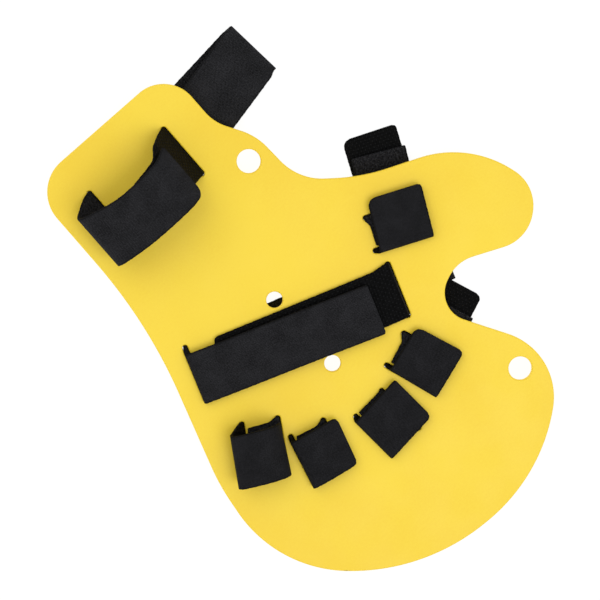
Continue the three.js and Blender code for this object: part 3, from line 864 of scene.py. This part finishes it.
def hook_face():
    """Hooks in staggered rows: their height is the positive part of sin(u) * sin(v), sharpened. The
    crowns are a little lighter on near black, a painted shine, and long combed streaks run across the rows."""
    finish = Finish("hook_face")
    place, along, across = map_parts(finish, "webbing")
    stray = finish.noise(place, 1.8)
    u = (along + stray * 0.5) * (math.pi / HOOK_ROW)
    v = (across + stray * 0.4) * (math.pi / HOOK_PITCH)
    crown = finish.between(u.sine() * v.sine(), 0.0, 0.8)
    combed = finish.node("ShaderNodeMapping", None, {"Vector": place, "Scale": (1.6, 0.25, 1.0)})
    streak = finish.between(finish.noise(combed, 1.0, 3.0), 0.4, 0.62)
    # Painted shine: the hooks' crowns are lighter; the combed streaks are the tape's own
    share = crown * 0.75 + streak * 0.25
    finish.set(Base_Color=finish.blend(share, linear(*HOOK_DARK), linear(*HOOK_LIGHT)))
    finish.set(Roughness=0.6, Specular_IOR_Level=0.06)
    finish.set(Normal=finish.bump(crown + stray * 0.4, 0.9, HOOK_DEPTH))
    return finish.done()


def loop_face():
    """A felt of loops: a fine noise over a coarse one, lighter where loops stand up, which is painted
    light, and darker towards the selvedges, which is painted shade, with pale broken rings scattered
    over it, most of all by the cut end."""
    finish = Finish("loop_face")
    place, _, _ = map_parts(finish, "webbing")
    _, to_side, to_end = map_parts(finish, "rim")
    tuft = finish.noise(place, 1.1, 5.0, 0.7)
    # Painted shade towards both selvedges, and painted light where the loops stand up
    body = finish.between(to_side, 0.1, EDGE_SHADE, 0.4, 1.0)
    share = finish.between(tuft, 0.36, 0.7) * body
    rings = finish.between(finish.noise(place, 2.0, 3.0, 0.6), 0.6, 0.72)
    frayed = finish.between(to_end, 0.0, 2 * CUT_END, 0.75, 0.2)
    felt = finish.blend(share, linear(*FELT_DARK), linear(*FELT_LIGHT))
    finish.set(Base_Color=finish.blend(rings * frayed, felt, linear(*FELT_THREAD)))
    finish.set(Roughness=0.95, Specular_IOR_Level=0.1)
    finish.set(Normal=finish.bump(tuft, 1.0, FELT_DEPTH))
    return finish.done()


# The finger and thumb straps' weave is a little darker than that of the two long straps
WOVEN = woven_face("woven_webbing", 0)
DARK_WOVEN = woven_face("dark_woven_webbing", 9)
HOOKS, LOOPS = hook_face(), loop_face()

# %% [markdown]
# Finger and thumb straps
# Each is a pair. The loop strap starts hidden between the slots and goes down through the far
# slot. The hook strap lies on it with a rounded front end, folds over beyond the near slot and
# runs back under the board, where both tails of the thumb and index straps show past the edge.

# %% Finger and thumb straps
ARCH_FOOT = 0.55
ARCH_FOOT_ROUND = 9.0
ARCH_CROWN_ROUND = 14.0
# What an arch adds to the radius of its fold, as a share of the arch's height
FOLD_OPENING = 0.2
# The corner rounds of a cut end, and the number and length of its loose fibres
SQUARE_END = (0.3, 0.3)
HOOK_FIBRES = (12, 0.4)
LOOP_FIBRES = (90, 0.9)
# In millimetres past a slot: the front end's overlap, the fold, the arch, the share of the arch at
# the fold, the hook tail and the loop tail. Then the layer, the shifts at the front end, fold, hook
# tail and loop tail, and of the loop strap on the board by its slot and at its end, the turns of
# the first four, the front's extra width, and the corner rounds of both hook ends.
FINGER_STRAPS = {
    "thumb": ((8.45, 2.05, 0.6, 0.5, 38, 27.8), 4, (2.35, 1.1, 0.2, 1.6, 0.45, 0.45),
              (0, 0, 1, -2.5), 0, (4, 2), (4, 2)),
    "index": ((5.85, 2.65, 0.8, 0.5, 33.4, 21.9), 2, (2.95, 1.6, -0.6, 0.6, 0.45, 0.45),
              (0, -2.9, 0, 0), 0.3, (3.6, 2.6), (3.4, 3)),
    "middle": ((8.3, 4, 0.8, 0.5, 26, 7), 4, (-0.8, 0.3, -1, -0.3, -1.3, -1.2),
               (0, 0, 0, 0), -0.6, (0.8, 2.6), (3, 3)),
    "ring": ((5.6, 1.3, 3.2, 0.75, 10, 7), 2, (-0.15, 0.75, -1, -0.3, 0.3, 0.3),
             (-1.9, 0, 0, 0), -0.7, (2.6, 2.2), (3, 3)),
    "little": ((0.7, 9.1, 11, 0.8, 24, -11), 4, (1.15, 2.75, -1, -0.3, 0.6, 1.7),
               (3, 0, 0, 0), 0, (1, 1), (3, 3)),
}


def hook_band(finger):
    """From the rounded front end, over the arch, round the fold, down the near slot and back under
    the board. Along the top the band leans on a straight line from its front shift to its fold
    shift."""
    (overlap, fold, arch, rise, tail, _), layer, shifts, turns, wide, first, last = FINGER_STRAPS[finger]
    near = STATIONS[finger][3] / 2
    in_slot = {"shift": FINGER_SLOT_SHIFT, "wide": FINGER_PLAY - SLOT_FILL}
    height = over(2)
    front_x, fold_x = -near - overlap, near + fold
    fold_round = BEND_RADIUS + FOLD_OPENING * arch

    def lean(x):
        return shifts[0] + (shifts[1] - shifts[0]) * (x - front_x) / (fold_x - front_x)

    rows = [
        row(front_x, height, lean(front_x), turns[0], wide),
        row(-near, height + arch * ARCH_FOOT, lean(-near), turns[0], wide, ARCH_FOOT_ROUND),
        row(0, height + arch, lean(0), 0, wide, ARCH_CROWN_ROUND),
        row(fold_x, height + arch * rise, lean(fold_x), turns[1], wide, fold_round),
        row(near, BOARD_TOP, **in_slot),
        row(near, under(layer), **in_slot),
        row(near - TAIL_LEAD, under(layer)),
        row(-near - tail, under(layer), shifts[2], turns[2]),
    ]
    webbing(f"{finger}_hook_band", f"{finger}_hook_strap", finger, rows, (first, last),
            [DARK_WOVEN, HOOKS], HOOK_FIBRES)


def loop_band(finger):
    """From the end hidden under the hook strap, down the far slot and out or back as its tail."""
    (*_, tail), layer, shifts, turns, _, _, _ = FINGER_STRAPS[finger]
    near = STATIONS[finger][3] / 2
    hidden = near - WEB_THICKNESS / 2 - LAYER_GAP - BEND_RADIUS
    in_slot = {"shift": FINGER_SLOT_SHIFT, "wide": FINGER_PLAY - SLOT_FILL}
    rows = [
        row(hidden, over(1), shifts[5]),
        row(-near + TAIL_LEAD, over(1), shifts[4]),
        row(-near, over(1), **in_slot),
        row(-near, under(layer - 1), **in_slot),
        *[row(-near - tail * part, under(layer - 1), shifts[3] * part, turns[3] * part)
          for part in (min(1.0, TAIL_LEAD / abs(tail)), 1.0)],
    ]
    webbing(f"{finger}_loop_band", f"{finger}_loop_strap", finger, rows, (SQUARE_END, SQUARE_END),
            [DARK_WOVEN, LOOPS], LOOP_FIBRES)


for finger in FINGER_STRAPS:
    hook_band(finger)
    loop_band(finger)

# %% [markdown]
# The wrist loop
# The wrist strap is one long band. Its upper layer arches high over the board and leans towards
# the hand, its lower layer comes up from the far slot and lies close inside it, and its slack is
# folded behind the board, where it sticks out past the thumb side.

# %% The wrist strap
WRIST_HEIGHT = 24.0
WRIST_SLACK = 57.3
# Places along the slot gap, heights as shares of the loop's, leans as shares of the width, how
# much wider the band lies in millimetres, and rounds as shares of the gap
WRIST_UPPER = [
    (-0.372, 0.66, 0.2, 0, 0),
    (-0.209, 0.93, 0.28, -1.8, 0.5),
    (0.216, 1.03, 0.31, -2.6, 1.3),
    (0.87, 0.62, 0.2, 0, 0.13),
]
WRIST_LOWER = [(-0.325, 0.56, 0.06, -1.5, 0.2), (-0.21, 0.78, 0.225, -2, 0.2), (0.095, 0.84, 0.31, -2.6, 0)]
# The fold's shift and turn, and the turns of the two layers of slack that run to it
FOLD_SHIFT = -15.0
FOLD_TURN = 5.9
OUT_TURN = 6.2
RETURN_TURN = 12.5
SLOT_LEAD = 8.0
FOLD_LEAD = 6.0
SLACK_EXTRA = 1.6
FOLD_EXTRA = 0.5
# The rounds of the first end's two corners and of the last end's, and the loose fibres' number and
# length on both long straps
WRIST_ENDS = ((1, 4), (1, 1))
LONG_FIBRES = (20, 0.5)


def wrist_band():
    """From the top layer's free end, over the arch, down the near slot, out to the fold, back to
    the far slot, up, and under the arch."""
    near = WRIST_GAP / 2
    wide = WRIST_PLAY - SLOT_FILL

    def arched(along, rise, lean, wide, round):
        height = BOARD_TOP + rise * WRIST_HEIGHT
        return row(along * WRIST_GAP, height, lean * WRIST_WIDTH, 0, wide, round * WRIST_GAP)

    def fold(layer):
        return row(-near - WRIST_SLACK, under(layer), FOLD_SHIFT, FOLD_TURN, FOLD_EXTRA, LAYER_PITCH)

    def straight(turn, layer):
        slope = math.tan(math.radians(turn))
        leads = (SLOT_LEAD, 2 * SLOT_LEAD, WRIST_SLACK - FOLD_LEAD)
        shifts = [FOLD_SHIFT + (WRIST_SLACK - out) * slope for out in leads]
        return [row(-near - out, under(layer), shift, turn, SLACK_EXTRA)
                for out, shift in zip(leads, shifts)]

    rows = [
        *[arched(*corner) for corner in WRIST_UPPER],
        row(near, BOARD_TOP, wide=wide, round=2 * BEND_RADIUS),
        row(near, under(LAYERS_UNDER), wide=wide),
        *straight(OUT_TURN, LAYERS_UNDER),
        fold(LAYERS_UNDER),
        fold(LAYERS_UNDER - 2),
        *straight(RETURN_TURN, LAYERS_UNDER - 2)[::-1],
        row(-near, under(LAYERS_UNDER - 2), wide=wide),
        row(-near, BOARD_TOP, wide=wide, round=2 * BEND_RADIUS),
        *[arched(*corner) for corner in WRIST_LOWER],
    ]
    far_slot = -1 - len(WRIST_LOWER)
    webbing("wrist_band", "wrist_strap", "wrist", rows, WRIST_ENDS,
            [WOVEN, LOOPS, HOOKS], LONG_FIBRES, far_slot)


wrist_band()

# %% [markdown]
# The palm strap
# The longest strap crosses the palm. Its upper layer lies on its lower one, which shows as a dark
# strip along one edge and as a short dark patch by the far slot.

# %% The palm strap
PALM_SLACK = 27.9
PALM_FREE_END = 0.373
PALM_HIDDEN_END = 0.37
PALM_FREE_LIFT = 0.4
PALM_CROWN_LIFT = 0.9
PALM_CROWN_ROUND = 60.0
PALM_FOLD = 1.8
PALM_TOP_EXTRA = 0.6
PALM_HOOK_SHIFT = 0.9
# Leans as shares of the width: at the free end, the crown, the fold and the slack's fold
PALM_LEANS = (0.172, 0.136, 0.1, -0.235)
# The run under the board: places as shares of half the slot gap, leans as shares of the width
PALM_RUN = [(0.38, -0.14), (0, -0.18), (-1, -0.19)]
PALM_ENDS = ((0.6, 1.2), (3, 3))


def palm_band():
    """From the top layer's free end to the near slot, under the board to the slack's fold, back to
    the far slot, up, and along the board to the end hidden under the top layer."""
    near = PALM_GAP / 2
    wide = PALM_PLAY - SLOT_FILL
    free, crown, fold, slack_lean = [share * PALM_WIDTH for share in PALM_LEANS]

    def slack(layer):
        return row(-near - PALM_SLACK, under(layer), slack_lean, round=LAYER_PITCH / 2)

    rows = [
        row(-PALM_FREE_END * PALM_GAP, over(2) + PALM_FREE_LIFT, free, 0, PALM_TOP_EXTRA),
        row(0, over(2) + PALM_CROWN_LIFT, crown, 0, PALM_TOP_EXTRA, PALM_CROWN_ROUND),
        row(near + PALM_FOLD, over(2), fold, 0, PALM_TOP_EXTRA),
        row(near, BOARD_TOP, wide=wide),
        row(near, under(LAYERS_UNDER), wide=wide),
        row(near - TAIL_LEAD, under(LAYERS_UNDER)),
        *[row(along * near, under(LAYERS_UNDER), share * PALM_WIDTH) for along, share in PALM_RUN],
        slack(LAYERS_UNDER),
        slack(LAYERS_UNDER - 1),
        row(-near, under(LAYERS_UNDER - 1), wide=wide),
        row(-near, over(1), wide=wide),
        row(-near + 2 * TAIL_LEAD, over(1), PALM_HOOK_SHIFT, 0, PALM_HOOK_EXTRA),
        row(PALM_HIDDEN_END * PALM_GAP, over(1), PALM_HOOK_SHIFT, 0, PALM_HOOK_EXTRA),
    ]
    far_slot = -3
    webbing("palm_band", "palm_strap", "palm", rows, PALM_ENDS,
            [WOVEN, LOOPS, HOOKS], LONG_FIBRES, far_slot)


palm_band()

# %% [markdown]
# Floor and light
# The photograph has a plain white ground and soft shadows that fall towards the upper left. A pale
# floor, a bright even sky and two large soft lamps give that.


# %% Floor and light
# Metres
FLOOR_HALF = 4.0
FLOOR_DROP = 0.0002
LAMP_AIM = (0, 0, 0.01)
FLOOR_DARK = linear(92, 92, 93)
FLOOR_LIGHT = linear(96, 96, 96)
WHITE = (1, 1, 1, 1)
FLOOR_GLOW = 0.92
SKY_STRENGTH = 0.64
# Place and size in metres, power in watts
LAMPS = {
    "key_lamp": ((-0.4, 3.5, 6.8), 4.6, 158.0),
    "fill_lamp": ((0.6, -2.6, 3.4), 3.6, 38.0),
}


def floor():
    """A square a hair under the object. It glows, so that it comes out near white in the picture."""
    mesh = bpy.data.meshes.new("floor")
    signs = [(-1, -1), (1, -1), (1, 1), (-1, 1)]
    corners = [(x * FLOOR_HALF, y * FLOOR_HALF, -FLOOR_DROP) for x, y in signs]
    mesh.from_pydata(corners, [], [(0, 1, 2, 3)])
    finish = Finish("pale_floor")
    cloud = finish.noise(finish.object_place(), 3.0)
    finish.set(Base_Color=finish.blend(cloud, FLOOR_DARK, FLOOR_LIGHT))
    finish.set(Roughness=0.9, Emission_Color=WHITE, Emission_Strength=FLOOR_GLOW)
    piece = shown("floor", mesh, [finish.done()])


def lamp(name, place, size, power):
    """A square soft lamp that looks at the middle of the board."""
    light = bpy.data.lights.new(name, "AREA")
    light.size = size
    light.energy = power
    holder = bpy.data.objects.new(name, light)
    aim = Vector(LAMP_AIM) - Vector(place)
    turn = aim.to_track_quat("-Z", "Y").to_matrix().to_4x4()
    holder.matrix_world = Matrix.Translation(Vector(place)) @ turn
    bpy.context.scene.collection.objects.link(holder)


def sky():
    world = bpy.data.worlds.new("studio")
    world.use_nodes = True
    background = world.node_tree.nodes["Background"]
    background.inputs["Color"].default_value = WHITE
    background.inputs["Strength"].default_value = SKY_STRENGTH
    bpy.context.scene.world = world


floor()
for name, (place, size, power) in LAMPS.items():
    lamp(name, place, size, power)
sky()
bpy.context.scene.view_settings.view_transform = "Standard"
print("floor, sky and", len(LAMPS), "lamps")
